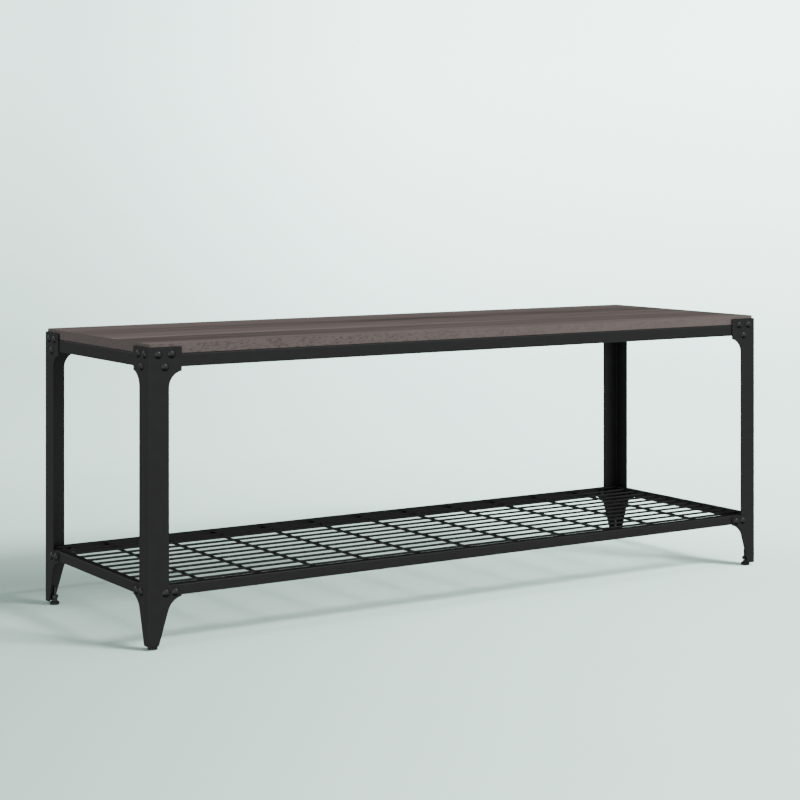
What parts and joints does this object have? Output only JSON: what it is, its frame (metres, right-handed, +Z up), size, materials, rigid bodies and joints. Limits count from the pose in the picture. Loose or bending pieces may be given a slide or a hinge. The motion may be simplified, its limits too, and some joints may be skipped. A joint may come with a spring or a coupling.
{
  "type": "entryway bench",
  "caption": "Low rectangular bench: wood-grain seat board on a bolted black sheet-steel frame with tapered corner legs, leveling glides and a wire-mesh shelf near the floor.",
  "frame": {"origin": "on the floor, under the centre of the bench", "axes": "+X along the bench's length, to the right seen from the front; the front faces -Y; +Z up"},
  "size_m": [1.2262, 0.407, 0.4587],
  "materials": {
    "seat_board": "satin wood-grain laminate",
    "frame_metal": "satin black powder coat",
    "shelf_wire": "satin black powder coat",
    "bolt_black": "semi-gloss black",
    "plated_hardware": "zinc plated",
    "glide_plastic": "matte"
  },
  "bodies": {
    "bench": {"seat_panel": "seat_board", "panel_screws": "plated_hardware", "shelf_long_wires": "shelf_wire", "shelf_cross_rods": "shelf_wire", "top_rail_front": "frame_metal", "top_rail_rear": "frame_metal", "top_rail_left": "frame_metal", "top_rail_right": "frame_metal", "shelf_rail_front": "frame_metal", "shelf_rail_rear": "frame_metal", "shelf_rail_left": "frame_metal", "shelf_rail_right": "frame_metal", "leg_front_left": "frame_metal", "corner_plate_front_left": "frame_metal", "head_bolts_front_left": "bolt_black", "head_nuts_front_left": "bolt_black", "shelf_bolts_front_left": "bolt_black", "shelf_nuts_front_left": "bolt_black", "foot_plate_front_left": "frame_metal", "foot_nut_front_left": "bolt_black", "leg_front_right": "frame_metal", "corner_plate_front_right": "frame_metal", "head_bolts_front_right": "bolt_black", "head_nuts_front_right": "bolt_black", "shelf_bolts_front_right": "bolt_black", "shelf_nuts_front_right": "bolt_black", "foot_plate_front_right": "frame_metal", "foot_nut_front_right": "bolt_black", "leg_rear_left": "frame_metal", "corner_plate_rear_left": "frame_metal", "head_bolts_rear_left": "bolt_black", "head_nuts_rear_left": "bolt_black", "shelf_bolts_rear_left": "bolt_black", "shelf_nuts_rear_left": "bolt_black", "foot_plate_rear_left": "frame_metal", "foot_nut_rear_left": "bolt_black", "leg_rear_right": "frame_metal", "corner_plate_rear_right": "frame_metal", "head_bolts_rear_right": "bolt_black", "head_nuts_rear_right": "bolt_black", "shelf_bolts_rear_right": "bolt_black", "shelf_nuts_rear_right": "bolt_black", "foot_plate_rear_right": "frame_metal", "foot_nut_rear_right": "bolt_black"},
    "pad_front_left": {"glide_pad_front_left": "glide_plastic"},
    "stem_front_left": {"glide_stem_front_left": "bolt_black"},
    "pad_front_right": {"glide_pad_front_right": "glide_plastic"},
    "stem_front_right": {"glide_stem_front_right": "bolt_black"},
    "pad_rear_left": {"glide_pad_rear_left": "glide_plastic"},
    "stem_rear_left": {"glide_stem_rear_left": "bolt_black"},
    "pad_rear_right": {"glide_pad_rear_right": "glide_plastic"},
    "stem_rear_right": {"glide_stem_rear_right": "bolt_black"}
  },
  "joints": [
    {"name": "glide_travel_front_left", "type": "slide", "parent": "bench", "child": "pad_front_left", "axis": [0, 0, -1], "range_m": [0, 0.008]},
    {"name": "glide_turn_front_left", "type": "hinge", "parent": "pad_front_left", "child": "stem_front_left", "pos_m": [-0.5976, -0.188, 0.0155], "axis": [0, 0, -1], "range_deg": [0, 2880]},
    {"name": "glide_travel_front_right", "type": "slide", "parent": "bench", "child": "pad_front_right", "axis": [0, 0, -1], "range_m": [0, 0.008]},
    {"name": "glide_turn_front_right", "type": "hinge", "parent": "pad_front_right", "child": "stem_front_right", "pos_m": [0.5976, -0.188, 0.0155], "axis": [0, 0, -1], "range_deg": [0, 2880]},
    {"name": "glide_travel_rear_left", "type": "slide", "parent": "bench", "child": "pad_rear_left", "axis": [0, 0, -1], "range_m": [0, 0.008]},
    {"name": "glide_turn_rear_left", "type": "hinge", "parent": "pad_rear_left", "child": "stem_rear_left", "pos_m": [-0.5976, 0.188, 0.0155], "axis": [0, 0, -1], "range_deg": [0, 2880]},
    {"name": "glide_travel_rear_right", "type": "slide", "parent": "bench", "child": "pad_rear_right", "axis": [0, 0, -1], "range_m": [0, 0.008]},
    {"name": "glide_turn_rear_right", "type": "hinge", "parent": "pad_rear_right", "child": "stem_rear_right", "pos_m": [0.5976, 0.188, 0.0155], "axis": [0, 0, -1], "range_deg": [0, 2880]}
  ],
  "couplings": [
    {"joint": "glide_turn_front_left", "follows": "glide_travel_front_left", "rad_per_m": 6283.2},
    {"joint": "glide_turn_front_right", "follows": "glide_travel_front_right", "rad_per_m": 6283.2},
    {"joint": "glide_turn_rear_left", "follows": "glide_travel_rear_left", "rad_per_m": 6283.2},
    {"joint": "glide_turn_rear_right", "follows": "glide_travel_rear_right", "rad_per_m": 6283.2}
  ]
}
